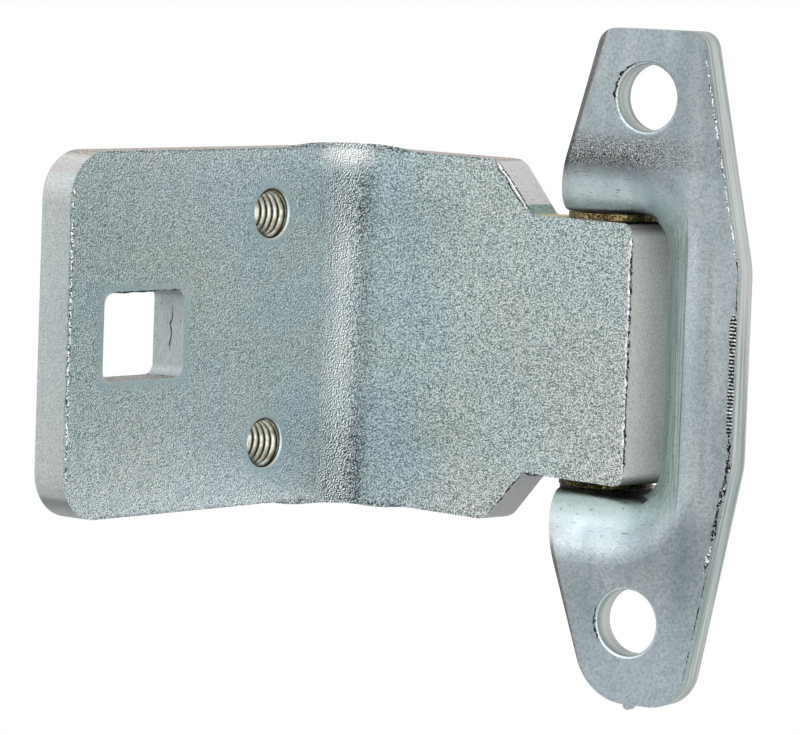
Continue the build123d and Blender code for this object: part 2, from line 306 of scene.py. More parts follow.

    # Painted greenish shade in the inner corner over the knuckle, and darker ends of its end face
    cornerLow, cornerHigh, cornerFade = metres(look["corner"])
    cornerShade = add(tree, "MapRange", {0: height, 1: cornerLow - cornerFade, 2: cornerLow})
    cornerTop = add(tree, "MapRange", {0: height, 1: cornerHigh, 2: cornerHigh - cornerFade})
    overKnuckle = add(tree, "Math", {0: alongArm, 1: look["cornerFrom"] * mm}, **beyond)
    for mask in (cornerTop, sheared, overKnuckle):
        cornerShade = add(tree, "Math", {0: cornerShade, 1: mask}, **times)
    endDark = add(tree, "MapRange", {0: high, (1, 2): metres(look["endDark"][:2]), 4: look["endDark"][2]})
    endDark = add(tree, "Math", {0: endDark, 1: knuckleEnd}, **times)

    # Painted light on the peel: height here less the height a little towards the bright flank, so one flank
    # of each bump is painted light and the other painted shade
    beside = add(tree, "VectorMath", {0: place, 1: metres(look["flank"])}, operation="ADD")
    drawnOut = add(tree, "Mapping", {"Vector": place, "Scale": look["stretch"]})
    grain, beside, clouds, streaks, flecks = (
        add(tree, "TexNoise", {"Vector": spot, "Scale": 1 / (look[size] * mm), "Detail": detail})
        for spot, size, detail in (
            (place, "grain", 1.3), (beside, "grain", 1.3), (place, "clouds", 2.0),
            (drawnOut, "streak", 2.0), (place, "fleck", 2.0),
        ))
    flankLight = add(tree, "Math", {0: grain, 1: beside}, **minus)
    flankLight = add(tree, "Math", {0: flankLight, 1: look["flankGain"], 2: 0.5}, **timesPlus)
    bumpStrength, bumpInHollow = look["grainBump"]
    depth = add(tree, "Math", {0: hollow, 1: bumpInHollow, 2: bumpStrength}, **timesPlus)
    depth = add(tree, "Math", {0: depth, 1: peel}, **times)
    bump = add(tree, "Bump", {"Strength": depth, "Distance": look["grainDepth"] * mm, "Height": grain})

    # Tones of the sheared edges and of the face, each laid from the bottom up; the face's tones follow the
    # painted flank light
    tone = {key: add(tree, "ValToRGB", {0: level}, stops=look[key]) for key, level in {
        "smooth": clouds, "clouded": clouds, "face": flankLight, "paled": flankLight, "shadeSpeckle": flankLight,
        "edge": streaks, "cornerShadeTone": streaks, "flecks": flecks, "top": flecks, "knuckle": grain,
    }.items()}
    level = add(tree, "MapRange", {0: lift, (1, 2): look["levelTop"]})
    # Painted reflection and painted shadow on the knuckle's top near the bush
    shadowFrom, shadowTo, reflectTone, shadowTone = look["topReflectAndShadow"]
    topReflectAndShadow = add(tree, "MapRange", {0: alongArm, 1: shadowFrom * mm, 2: shadowTo * mm})
    topReflectAndShadow = add(tree, "Mix", {0: topReflectAndShadow, 6: linear(reflectTone), 7: linear(shadowTone)}, 2, **blending)
    top = add(tree, "Mix", {0: overKnuckle, 6: tone["top"], 7: topReflectAndShadow}, 2, **blending)
    under = add(tree, "MapRange", {0: lift, (1, 2, 4): look["underside"]})
    shaded = add(tree, "Math", {0: legEnd, 1: legShaded, 2: under}, **timesPlus)
    knuckle = add(tree, "Mix", {0: endDark, 6: tone["knuckle"], 7: linear(look["endDarkTone"])}, 2, **blending)
    edge = tone["edge"]
    for mask, layer, way in (
        (1.0, tone["flecks"], tinting), (level, top, blending), (shaded, linear(look["shade"]), blending),
        (knuckleEnd, knuckle, blending), (inWindow, linear(look["windowTint"]), tinting),
        (cornerShade, tone["cornerShadeTone"], blending),
    ):
        edge = add(tree, "Mix", {0: mask, 6: edge, 7: layer}, 2, **way)
    (blueFrom, blueTo, blueTone), (warmFrom, warmTo, warmTone) = look["armBlue"], look["armWarm"]
    warm = add(tree, "MapRange", {0: alongArm, 1: warmFrom * mm, 2: warmTo * mm})
    cast = add(tree, "Mix", {0: warm, 6: linear(blueTone), 7: linear(warmTone)}, 2, **blending)
    onArm = add(tree, "MapRange", {0: alongArm, 1: blueFrom * mm, 2: blueTo * mm, 4: look["castShare"]})
    face = add(tree, "Mix", {0: peel, 6: tone["smooth"], 7: tone["face"]}, 2, **blending)
    for mask, layer, way in (
        (1.0, tone["clouded"], tinting), (onArm, cast, tinting), (pale, tone["paled"], blending),
        (shadeAndEdgeLine, tone["shadeSpeckle"], blending), (sheared, edge, blending),
    ):
        face = add(tree, "Mix", {0: mask, 6: face, 7: layer}, 2, **way)
    rough = add(tree, "MapRange", {0: grain, (1, 2): noiseSpan, (3, 4): look["rough"]})
    rough = add(tree, "Mix", {0: hollow, 2: rough, 3: look["hollowRough"]})
    rough = add(tree, "Mix", {0: sheared, 2: rough, 3: look["shearedRough"]})
    metal = add(tree, "MapRange", {0: sheared, 3: 1.0, 4: look["shearedMetal"]})
    metal = add(tree, "Mix", {0: pale, 2: metal, 3: look["paleMetal"]})
    metal = add(tree, "Mix", {0: knuckleEnd, 2: metal, 3: look["knuckleMetal"]})
    shader = add(tree, "BsdfPrincipled", {
        "Base Color": face, "Roughness": rough, "Normal": bump, "Metallic": metal,
    })
    add(tree, "OutputMaterial", {"Surface": shader})
    return material


# Zinc-plated deep-drawn sheet: smoother than the plate, light blue grey with fine painted glints on the
# flat, smooth scratched rolls, a speckled strip painted dark where the upper ear starts to roll, green
# drawing streaks on the web's roll that end in a line, a speckled streak down the flat beside it, striped
# sheared edges, and
# painted light and shade: paler on the lower roll, darker on the upper right, beside the lower roll, along
# the left edge and on the ears' inner faces.
sheetLook = {
    "grain": 0.38,  # mm
    "grainDepth": 0.022,  # mm
    "grainBump": (0.1, 0.5, 3.0),  # strength on the rolls, and what the flat and the strip add
    "sparkle": 0.19,  # mm
    "sparkleAbove": (0.84, 0.96, 0.8),  # noise level where a painted glint begins and is full; how bright
    "sparkleClouds": 0.35,  # how much the clouds gather them
    "sparkleTone": "#ffffff",
    "clouds": 5.0,  # mm across, and longer down the sheet
    "streak": 0.30,  # mm, across the drawing streaks
    "stripe": 0.8,  # mm, across the edge stripes, which lie along the sheet
    "stretch": ((1.0, 1.0, 0.22), (1.0, 1.0, 0.03), (0.03, 1.0, 0.03)),  # of clouds, streaks and stripes
    "speck": 0.13,  # mm, in the strip and the rubbed streak
    "scratch": 1.2,  # mm, spacing of the short marks on the rolls
    "scratchTurn": (0.3, 0.9, 0.2),  # radians
    "scratchStretch": (1.0, 3.0, 6.0),
    "scratchAbove": (0.64, 0.69, 0.6),  # noise level where a mark begins and is full; how dark
    "markTone": "#2d3435",
    "turned": (0.6, 0.35),  # share of the normal along Y, where a sheared edge begins and is full
    "outlineFade": 0.2,  # mm each side of the opening
    "flatFade": (0.9, 0.1),  # mm behind the front, where the flat begins and is full
    "strip": (28.4, 30.2, 32.4, 35.8),  # mm high: fades in, full, full, fades out
    "stripFade": (-2.0, 12.0),  # mm, X over which the strip fades to the right
    "stripShare": (0.28, 0.95),  # how dark it is at the right and at the left
    "webLine": 7.85,  # mm, X of the line where the drawn roll ends
    "webMark": (0.16, 0.05, 0.55),  # mm from it, where the line begins and is full; how dark
    "webFade": 0.15,  # mm
    "webHalf": (26.0, 18.0),  # mm from the middle, where the green streaks fade in
    "rubbed": (12.2, 0.9, 24.0),  # mm, X of the speckled streak, its half width and half length
    "streakFade": (0.2, 0.7, 0.6),  # shares of these that are full, and how strong
    "blueEnd": (-36.0, -48.0),  # mm high, where the lower end turns to a lighter blue
    "blueTone": "#d3e3eb",
    "gap": ((21.9, 22.5), (21.9, 22.6)),  # mm from the middle: painted shadow by the lower gap, and by the upper one
    "gapDepth": 0.5,  # mm of the ear under that
    "gapShare": 0.9,
    "gapTone": "#25261d",
    "inward": (-0.25, -0.5),  # the normal's share towards the middle, where an inner face begins and is full
    "leftEdge": (-13.0, 32.0, 0.30),  # mm and slope: X of the left edge, at this height, and its lean
    "warmBand": (1.8, 0.3, 0.5),  # mm from it, where a warm band begins and is full; how strong
    "warmTone": "#c3bcbb",
    "outline": (0.45, 0.15, 0.6),  # the same for a dark outline, painted shade where the edge rounds away
    "face": ((0.32, "#aebcc2"), (0.50, "#c0ccd1"), (0.68, "#d4dde1")),
    "web": ((0.30, "#7c8b86"), (0.52, "#a2b0ab"), (0.72, "#c0cac5")),
    "edge": ((0.34, "#8d9b98"), (0.46, "#a3afac"), (0.54, "#b7b9b8"), (0.66, "#c3cac8")),
    # tones of the strip's painted dark reflection
    "shadeSpeckle": ((0.36, "#101213"), (0.50, "#737d80"), (0.62, "#f0f3f4")),
    "rightShade": ((28.0, 42.0), (2.0, 10.0), 0.35),  # mm high and across, painted shade on the upper right; how dark
    "lowShade": ((-36.0, -30.0, -25.0, -22.0), (-7.0, 4.0), 0.30),  # the same for painted shade right of the lower roll
    "shadeTone": "#7b868a",
    "mottle": 0.42,  # mm
    "mottled": ((0.34, "#dfe2e3"), (0.50, "#f6f7f7"), (0.62, "#ffffff")),
    "rollTone": "#ebeeee",  # of the polished rolls beside the flat
    "lowRoll": (-26.5, -23.5),  # mm high, where painted light makes the lower roll paler
    "lowRollTone": "#d9eeee",
    "rough": (0.36, 0.26),  # pits and crests of the grain
    "shearedRough": 0.5,
    "rub": ((0.34, "#4d5557"), (0.48, "#a3adb0"), (0.62, "#eef1f2")),
}


def zincSheet():
    look = sheetLook
    material, tree = newMaterial("zincSheet")
    place = add(tree, "TexCoord", out="Object")
    normal = add(tree, "TexCoord", out="Normal")
    across = add(tree, "SeparateXYZ", {0: place}, "X")
    back = add(tree, "SeparateXYZ", {0: place}, "Y")
    height = add(tree, "SeparateXYZ", {0: place}, "Z")
    high = add(tree, "Math", {0: height}, **unsigned)

    # Sheared outline: faces turned away from Y, in front of the flange's back, outside the opening
    turned = add(tree, "Math", {0: add(tree, "SeparateXYZ", {0: normal}, "Y")}, **unsigned)
    sheared = add(tree, "MapRange", {0: turned, (1, 2): look["turned"]}, **smoothStep)
    outside = add(tree, "Math", {0: high, 1: flange["rollStart"] * mm}, **minus)
    beside = add(tree, "Math", {0: across, 1: flange["webStart"] * mm}, **minus)
    outside = add(tree, "Math", {0: outside, 1: beside}, **largest)
    fade = look["outlineFade"] * mm
    outside = add(tree, "MapRange", {0: outside, 1: -fade, 2: fade})
    sheared = add(tree, "Math", {0: sheared, 1: outside}, **times)
    flatFrom, flatFull = ((flange["front"] + behind) * mm for behind in look["flatFade"])
    flat = add(tree, "MapRange", {0: back, 1: flatFrom, 2: flatFull}, **smoothStep)
    rolled = add(tree, "Math", {0: back, 1: 0.0}, **beyond)

    # Speckled strip at the start of the upper roll, painted dark as the reflection there
    zIn, zFull, zEnd, zOut = metres(look["strip"])
    strip = add(tree, "MapRange", {0: height, 1: zIn, 2: zFull}, **smoothStep)
    stripTop = add(tree, "MapRange", {0: height, 1: zOut, 2: zEnd}, **smoothStep)
    strip = add(tree, "Math", {0: strip, 1: stripTop}, **times)
    stripRight = add(tree, "MapRange", {
        0: across, (2, 1): metres(look["stripFade"]), (3, 4): look["stripShare"],
    }, **smoothStep)
    strip = add(tree, "Math", {0: strip, 1: stripRight}, **times)

    # Drawn roll of the web, its line, and the speckled streak
    fromLine = add(tree, "Math", {0: across, 1: look["webLine"] * mm}, **minus)
    web = add(tree, "MapRange", {0: fromLine, 1: 0.0, 2: -look["webFade"] * mm})
    tall = add(tree, "MapRange", {0: high, (1, 2): metres(look["webHalf"])}, **smoothStep)
    web = add(tree, "Math", {0: web, 1: tall}, **times)
    line = add(tree, "Math", {0: fromLine}, **unsigned)
    line = add(tree, "MapRange", {0: line, (1, 2): metres(look["webMark"][:2]), 4: look["webMark"][2]})
    line = add(tree, "Math", {0: line, 1: tall}, **times)
    streakX, streakHalf, streakTall = metres(look["rubbed"])
    streakCore, streakLength, streakShare = look["streakFade"]
    rubbed = add(tree, "Math", {0: across, 1: streakX}, **minus)
    rubbed = add(tree, "Math", {0: rubbed}, **unsigned)
    rubbed = add(tree, "MapRange", {0: rubbed, 1: streakHalf, 2: streakCore * streakHalf, 4: streakShare}, **smoothStep)
    streakEnd = add(tree, "MapRange", {0: high, 1: streakTall, 2: streakLength * streakTall}, **smoothStep)
    rubbed = add(tree, "Math", {0: rubbed, 1: streakEnd}, **times)

    # Left edge: a warm band beside it and a dark outline of painted shade
    edgeX, edgeZ, lean = look["leftEdge"]
    fromLeft = add(tree, "Math", {0: high, 1: edgeZ * mm}, **minus)
    fromLeft = add(tree, "Math", {0: fromLeft, 1: lean, 2: edgeX * mm}, **timesPlus)
    fromLeft = add(tree, "Math", {0: across, 1: fromLeft}, **minus)
    warm = add(tree, "MapRange", {
        0: fromLeft, (1, 2): metres(look["warmBand"][:2]), 4: look["warmBand"][2],
    }, **smoothStep)
    outline = add(tree, "MapRange", {
        0: fromLeft, (1, 2): metres(look["outline"][:2]), 4: look["outline"][2],
    })
    outline = add(tree, "Math", {0: outline, 1: flat}, **times)

    # Painted shadow on the ears' inner faces beside the knuckle
    lowGap, highGap = (
        add(tree, "MapRange", {0: high, 1: far * mm, 2: near * mm, 4: look["gapShare"]}, **smoothStep)
        for near, far in look["gap"])
    upper = add(tree, "Math", {0: height, 1: 0.0}, **beyond)
    gap = add(tree, "Mix", {0: upper, 2: lowGap, 3: highGap})
    earFrom = (look["gap"][1][0] - look["gapDepth"]) * mm
    ear = add(tree, "Math", {0: high, 1: earFrom}, **beyond)
    half = add(tree, "Math", {0: height}, operation="SIGN")
    lift = add(tree, "SeparateXYZ", {0: normal}, "Z")
    inner = add(tree, "Math", {0: lift, 1: half}, **times)
    inner = add(tree, "MapRange", {0: inner, (1, 2): look["inward"]})
    for mask in (ear, rolled, inner):
        gap = add(tree, "Math", {0: gap, 1: mask}, **times)

    stretched = [add(tree, "Mapping", {"Vector": place, "Scale": ways}) for ways in look["stretch"]]
    grain, sparkle, speck, mottle, clouds, streaks, stripes = (
        add(tree, "TexNoise", {"Vector": spot, "Scale": 1 / (look[size] * mm), "Detail": detail})
        for spot, size, detail in (
            (place, "grain", 2.0), (place, "sparkle", 0.0), (place, "speck", 1.0), (place, "mottle", 3.0),
            (stretched[0], "clouds", 4.0), (stretched[1], "streak", 2.0), (stretched[2], "stripe", 2.0),
        ))
    # Painted glints on the flat, gathered by the clouds
    sparkle = add(tree, "Math", {0: clouds, 1: look["sparkleClouds"], 2: sparkle}, **timesPlus)
    sparkle = add(tree, "MapRange", {0: sparkle, (1, 2, 4): look["sparkleAbove"]})
    sparkle = add(tree, "Math", {0: sparkle, 1: flat}, **times)
    scratch = add(tree, "Mapping", {
        "Vector": place, "Rotation": look["scratchTurn"], "Scale": look["scratchStretch"],
    })
    scratch = add(tree, "TexNoise", {
        "Vector": scratch, "Scale": 1 / (look["scratch"] * mm), "Detail": 2.0, "Distortion": 0.7,
    })
    scratch = add(tree, "MapRange", {0: scratch, (1, 2, 4): look["scratchAbove"]})
    scratch = add(tree, "Mix", {0: flat, 2: scratch, 3: 0.0})
    onRolls, onFlat, onStrip = look["grainBump"]
    depth = add(tree, "Math", {0: strip, 1: onStrip, 2: onRolls}, **timesPlus)
    depth = add(tree, "Math", {0: flat, 1: onFlat, 2: depth}, **timesPlus)
    bump = add(tree, "Bump", {"Strength": depth, "Distance": look["grainDepth"] * mm, "Height": grain})

    # Tones of the finish, laid from the bottom up
    tone = {key: add(tree, "ValToRGB", {0: level}, stops=look[key]) for key, level in {
        "face": clouds, "mottled": mottle, "shadeSpeckle": speck, "rub": speck, "web": streaks, "edge": stripes,
    }.items()}
    blueEnd = add(tree, "MapRange", {0: height, (1, 2): metres(look["blueEnd"])})
    # Painted shade on the upper right and right of the lower roll
    highSpan, wideSpan, share = look["rightShade"]
    sheetShade = add(tree, "MapRange", {0: height, (1, 2): metres(highSpan), 4: share})
    shadeAcross = add(tree, "MapRange", {0: across, (1, 2): metres(wideSpan)})
    sheetShade = add(tree, "Math", {0: sheetShade, 1: shadeAcross}, **times)
    highSpan, wideSpan, share = look["lowShade"]
    lowShade = add(tree, "MapRange", {0: height, (1, 2): metres(highSpan[:2]), 4: share})
    lowShadeEnd = add(tree, "MapRange", {0: height, (2, 1): metres(highSpan[2:])})
    shadeAcross = add(tree, "MapRange", {0: across, (1, 2): metres(wideSpan)}, **smoothStep)
    for mask in (lowShadeEnd, shadeAcross):
        lowShade = add(tree, "Math", {0: lowShade, 1: mask}, **times)
    sheetShade = add(tree, "Math", {0: sheetShade, 1: lowShade}, **largest)
    mottle = add(tree, "Mix", {0: flat, 6: linear(look["rollTone"]), 7: tone["mottled"]}, 2, **blending)
    # Painted light: the lower roll paler on its faces turned towards the middle
    lowRoll = add(tree, "MapRange", {0: height, (1, 2): metres(look["lowRoll"])})
    lowRoll = add(tree, "Mix", {0: upper, 2: lowRoll, 3: 0.0})
    lowRoll = add(tree, "Math", {0: lowRoll, 1: inner}, **times)
    mark = linear(look["markTone"])
    face = tone["face"]
    for mask, layer, way in (
        (blueEnd, linear(look["blueTone"]), blending), (sparkle, linear(look["sparkleTone"]), blending),
        (warm, linear(look["warmTone"]), blending), (sheetShade, linear(look["shadeTone"]), blending),
        (1.0, mottle, tinting), (lowRoll, linear(look["lowRollTone"]), blending),
        (strip, tone["shadeSpeckle"], blending), (rubbed, tone["rub"], blending), (web, tone["web"], blending),
        (line, mark, blending), (scratch, mark, blending), (outline, mark, blending),
        (gap, linear(look["gapTone"]), blending), (sheared, tone["edge"], blending),
    ):
        face = add(tree, "Mix", {0: mask, 6: face, 7: layer}, 2, **way)
    rough = add(tree, "MapRange", {0: grain, (1, 2): noiseSpan, (3, 4): look["rough"]})
    rough = add(tree, "Mix", {0: sheared, 2: rough, 3: look["shearedRough"]})
    shader = add(tree, "BsdfPrincipled", {
        "Base Color": face, "Roughness": rough, "Normal": bump, "Metallic": 1.0,
    })
    add(tree, "OutputMaterial", {"Surface": shader})
    return material


# Turned steel under zinc: fine rings round the pin, grey and a little dull.
pinLook = {
    "ring": 0.18,  # mm
    "depth": 0.01,  # mm
    "rough": 0.38,
    "tones": ((0.3, "#8f999b"), (0.7, "#b4bdbe")),
}


def turnedPinSteel():
    material, tree = newMaterial("turnedPinSteel")
    place = add(tree, "TexCoord", out="Object")
    rings = add(tree, "Mapping", {"Vector": place, "Scale": (0.05, 0.05, 1.0)})
    rings = add(tree, "TexNoise", {"Vector": rings, "Scale": 1 / (pinLook["ring"] * mm), "Detail": 2.0})
    tone = add(tree, "ValToRGB", {0: rings}, stops=pinLook["tones"])
    bump = add(tree, "Bump", {"Strength": 0.5, "Distance": pinLook["depth"] * mm, "Height": rings})
    shader = add(tree, "BsdfPrincipled", {
        "Base Color": tone, "Roughness": pinLook["rough"], "Normal": bump, "Metallic": 1.0,
    })
    add(tree, "OutputMaterial", {"Surface": shader})
    return material


# Rolled brass of the bushes: warm yellow with darker fine streaks in the grain; the lower bush is painted
# dark as shadow.
brassLook = {
    "grain": 0.35,  # mm
    "depth": 0.01,  # mm
    "rough": 0.33,
    "tones": ((0.34, "#33291a"), (0.50, "#86714a"), (0.70, "#d8c79c")),
    "shadowedBrass": ((0.38, "#16150d"), (0.55, "#3b3720"), (0.68, "#a39a62")),
}


def bushBrass():
    material, tree = newMaterial("bushBrass")
    place = add(tree, "TexCoord", out="Object")
    grain = add(tree, "TexNoise", {"Vector": place, "Scale": 1 / (brassLook["grain"] * mm), "Detail": 3.0})
    tone = add(tree, "ValToRGB", {0: grain}, stops=brassLook["tones"])
    shadowedBrass = add(tree, "ValToRGB", {0: grain}, stops=brassLook["shadowedBrass"])
    # Painted shadow: the lower bush takes the dark tones
    height = add(tree, "SeparateXYZ", {0: place}, "Z")
    lower = add(tree, "Math", {0: height, 1: 0.0}, operation="LESS_THAN")
    tone = add(tree, "Mix", {0: lower, 6: tone, 7: shadowedBrass}, 2, **blending)
    bump = add(tree, "Bump", {"Strength": 0.5, "Distance": brassLook["depth"] * mm, "Height": grain})
    shader = add(tree, "BsdfPrincipled", {
        "Base Color": tone, "Roughness": brassLook["rough"], "Normal": bump, "Metallic": 1.0,
    })
    add(tree, "OutputMaterial", {"Surface": shader})
    return material


# Cut thread: bright tapped flanks with a cream cast, and painted shade, dark olive, in the roots.
threadLook = {
    "grain": 0.9,  # mm, stains along the flanks
    "rough": 0.22,
    "depths": ((0.0, "#ecebe4"), (0.35, "#c3c3b6"), (0.85, "#34352a")),  # crest to root, darkening as painted shade
    "stains": ((0.35, "#cfcdbf"), (0.60, "#ffffff")),
}


def cutThreadZinc():
    material, tree = newMaterial("cutThreadZinc")
    place = add(tree, "TexCoord", out="Object")
    first, second = (fromHoleAxis(tree, place, name) for name in tappedHoles)
    radius = add(tree, "Math", {0: second, 1: first}, operation="MINIMUM")
    # Painted shade deepening from the crests into the roots
    depth = add(tree, "MapRange", {0: radius, 1: thread["minorRadius"] * mm, 2: thread["majorRadius"] * mm})
    tone = add(tree, "ValToRGB", {0: depth}, stops=threadLook["depths"])
    stain = add(tree, "TexNoise", {"Vector": place, "Scale": 1 / (threadLook["grain"] * mm), "Detail": 2.0})
    stain = add(tree, "ValToRGB", {0: stain}, stops=threadLook["stains"])
    tone = add(tree, "Mix", {0: 1.0, 6: tone, 7: stain}, 2, **tinting)
    shader = add(tree, "BsdfPrincipled", {
        "Base Color": tone, "Roughness": threadLook["rough"], "Metallic": 1.0,
    })
    add(tree, "OutputMaterial", {"Surface": shader})
    return material


# Torn burr: metal smeared over a sheared edge, in beads painted white as highlights and black as shade
# between.
# On the ladder the tool's chatter left level rungs, painted white as highlights on their tops and black as
# shade between.
burrLook = {
    "grain": 0.30,  # mm
    "depth": 0.06,  # mm
    "rung": 0.55,  # mm, pitch of the chatter
    "rungShare": 0.20,  # how far the rungs change the tone
    "rough": 0.35,
    "metal": 0.5,
    "tornBurr": ((0.36, "#0d0d0d"), (0.46, "#3d4140"), (0.52, "#e3e6e3"), (0.64, "#ffffff")),
    "brightBurr": ((0.30, "#3a3d3c"), (0.42, "#cfd3d1"), (0.55, "#ffffff"), (0.80, "#ffffff")),
    "darkBurr": ((0.42, "#0a0a0a"), (0.56, "#2a2c2b"), (0.64, "#b8bdbb"), (0.72, "#ffffff")),
    "rungedBurr": ((0.30, "#070707"), (0.52, "#1c1d1d"), (0.62, "#b9bdbc"), (0.86, "#ffffff")),
}


def burrFinish(name):
    material, tree = newMaterial(name)
    place = add(tree, "TexCoord", out="Object")
    grain = add(tree, "TexNoise", {"Vector": place, "Scale": 1 / (burrLook["grain"] * mm), "Detail": 2.0})
    level = grain
    if name == "rungedBurr":
        height = add(tree, "SeparateXYZ", {0: place}, "Z")
        perMetre = 2 * math.pi / (burrLook["rung"] * mm)
        turn = add(tree, "Math", {0: height, 1: perMetre, 2: grain}, **timesPlus)
        wave = add(tree, "Math", {0: turn}, operation="SINE")
        level = add(tree, "Math", {0: wave, 1: burrLook["rungShare"], 2: grain}, **timesPlus)
    tone = add(tree, "ValToRGB", {0: level}, stops=burrLook[name])
    bump = add(tree, "Bump", {"Strength": 1.0, "Distance": burrLook["depth"] * mm, "Height": level})
    shader = add(tree, "BsdfPrincipled", {
        "Base Color": tone, "Roughness": burrLook["rough"], "Normal": bump, "Metallic": burrLook["metal"],
    })
    add(tree, "OutputMaterial", {"Surface": shader})
    return material


brass = bushBrass()
for nodeName, finish in {
    "door_leaf": zincPlate(), "pillar_leaf": zincSheet(), "hinge_pin": turnedPinSteel(),
    "upper_bush": brass, "lower_bush": brass,
}.items():
    nodes[nodeName].data.materials.clear()
    nodes[nodeName].data.materials.append(finish)
print("finishes on the five solids")

# Coarse thread in each tapped hole: a ring whose inner radius follows a clipped triangle wave of the
# distance along the axis plus the pitch times the turn, opened at the front by a lead chamfer.
thread = {
    "pitch": 1.25,  # mm
    "minorRadius": 3.34,  # mm, crests
    "majorRadius": 3.97,  # mm, roots and the ring's outside
    "wall": 0.02,  # mm, least thickness of the ring
    "halfLength": 3.06,  # mm
    "lead": 0.55,  # mm, chamfer at the front
    "flats": (1.3, 0.13),  # gain and drop of the wave, which clip it at roots and crests
    "turnSteps": 144,
    "alongSteps": 110,
}


def threadRing(name, mount, material):
    axis = -np.array(mount["axis"])
    side = np.cross(up, axis)
    minor, major, half = thread["minorRadius"], thread["majorRadius"], thread["halfLength"]
    turn = np.linspace(0, 2 * math.pi, thread["turnSteps"], endpoint=False)[:, None]
    along = np.linspace(-half, half, thread["alongSteps"])[None, :]
    turned = (along / thread["pitch"] + turn / (2 * math.pi)) % 1.0
    wave = np.abs(2 * turned - 1)  # 1 at a root, 0 at a crest
    gain, drop = thread["flats"]
    radius = minor + (major - minor) * np.clip(wave * gain - drop, 0, 1)
    opening = major - (half - along) * (major - minor) / thread["lead"]
    radius = np.minimum(np.maximum(radius, opening), major - thread["wall"])
    along = np.concatenate([along, along[:, -1:], along[:, :1]], 1) + 0 * turn
    radius = np.concatenate([radius, np.full((len(turn), 2), major)], 1)
    rim = np.cos(turn)[..., None] * side + np.sin(turn)[..., None] * up
    grid = np.array(mount["pos_m"]) + (radius[..., None] * rim + along[..., None] * axis) * mm
    piece = closedSurface(name, grid, True)
    piece.data.materials.append(material)
    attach(piece, "door")


cutThread = cutThreadZinc()
for name, hole in zip(("upperThread", "lowerThread"), tappedHoles):
    threadRing(name, mounts[hole], cutThread)
print("threads cut")

# Burrs along sheared edges: a thin tube carried along the edge, whose width and height swell and shrink
# with seeded random beads, wander to the side, and taper to nothing at both ends; a crown is one bigger last
# bead. Sizes are in mm.
burrs = {
    "legEndBurr": dict(width=0.36, height=0.20, bead=0.55, wander=0.12, seed=3, crown=0.5),
    "knuckleBurr": dict(width=0.36, height=0.17, bead=0.50, wander=0.16, seed=5, crown=0.8),
    "knuckleCrack": dict(width=0.27, height=0.15, bead=0.45, wander=0.14, seed=6, least=0.4),
    "shoulderBurr": dict(width=0.46, height=0.26, bead=1.50, wander=0.50, seed=8, least=0.6),
    "shoulderCrack": dict(width=0.26, height=0.18, bead=1.50, wander=0.50, seed=8, least=0.5),
    "shoulderLine": dict(width=0.20, height=0.16, bead=1.50, wander=0.50, seed=8, least=0.4),
    "lowShoulderLine": dict(width=0.26, height=0.12, bead=0.60, wander=0.20, seed=25, least=0.3),
    "underKnuckleLine": dict(width=0.22, height=0.12, bead=0.60, wander=0.12, seed=26, least=0.3),
    "windowBurr": dict(width=0.16, height=0.08, bead=0.90, wander=0.06, seed=10),
    "windowCrack": dict(width=0.16, height=0.06, bead=0.90, wander=0.30, seed=14),
    "rimBurrTop": dict(width=0.18, height=0.10, bead=0.60, wander=0.16, seed=11),
    "rimLine": dict(width=0.16, height=0.08, bead=1.20, wander=0.05, seed=12),
    "rimLadder": dict(width=0.60, height=0.12, bead=2.0, wander=0.04, seed=13, least=0.8),
    "rimBurrLow": dict(width=0.56, height=0.15, bead=0.60, wander=0.16, seed=17, least=0.4),
    "rimFlecks": dict(width=0.40, height=0.12, bead=0.50, wander=0.20, seed=18),
    "rimTail": dict(width=0.12, height=0.06, bead=0.80, wander=0.05, seed=20),
    "upperHoleBurr": dict(width=0.32, height=0.14, bead=0.40, wander=0.20, seed=19, least=0.3),
    "lowerHoleBurr": dict(width=0.32, height=0.14, bead=0.40, wander=0.18, seed=23, least=0.3),
}
burrTube = {
    "step": 0.11,  # mm between rings
    "sides": 10,
    "swell": 1.25,  # largest bead before it is clipped to 1
    "least": 0.12,  # smallest bead, where a burr has none of its own
    "crown": (1.2, 0.5),  # mm from the end, and half width
    "taper": 1.2,  # mm at both ends
    "tip": 0.06,
    "rimSteps": 40,
    "holeSteps": 60,
}
burrPlaces = {  # mm
    "legEndBurr": 0.72,  # in from the sheared end
    "knuckleBurr": 0.30,  # in from the knuckle's end
    "knuckleCrack": 0.35,  # past that burr, along the arm
    "windowBurr": (0.1, 0.6, 2.0),  # over the window's top, and in from its two sides
    "windowCrack": (2.4, 4.6, 0.5, 7.5),  # behind the front and up, then its run back and down
    "shoulderCrack": -0.62,  # from the shoulder's edge, along the arm
    "shoulderLine": 0.42,
    "underKnuckleLine": (0.4, -0.6, 5.5),  # up from the shoulder's foot, and its ends along the arm
    "rimBurrTop": (47.0, 17.0, 0.48),  # top and bottom on the flange's right edge, and in from it
    "rimLine": (18.0, 8.0, 0.40),
    "rimLadder": (8.6, -10.6, 0.80),
    "rimBurrLow": (-10.2, -26.5, 0.75),
    "rimFlecks": (-26.5, -32.0, 0.75),
    "rimTail": (-31.0, -49.0, 0.30),
    "upperHoleBurr": (0.55, 100, 190),  # outside the hole, and degrees round it
    "lowerHoleBurr": (0.55, 160, 220),
}


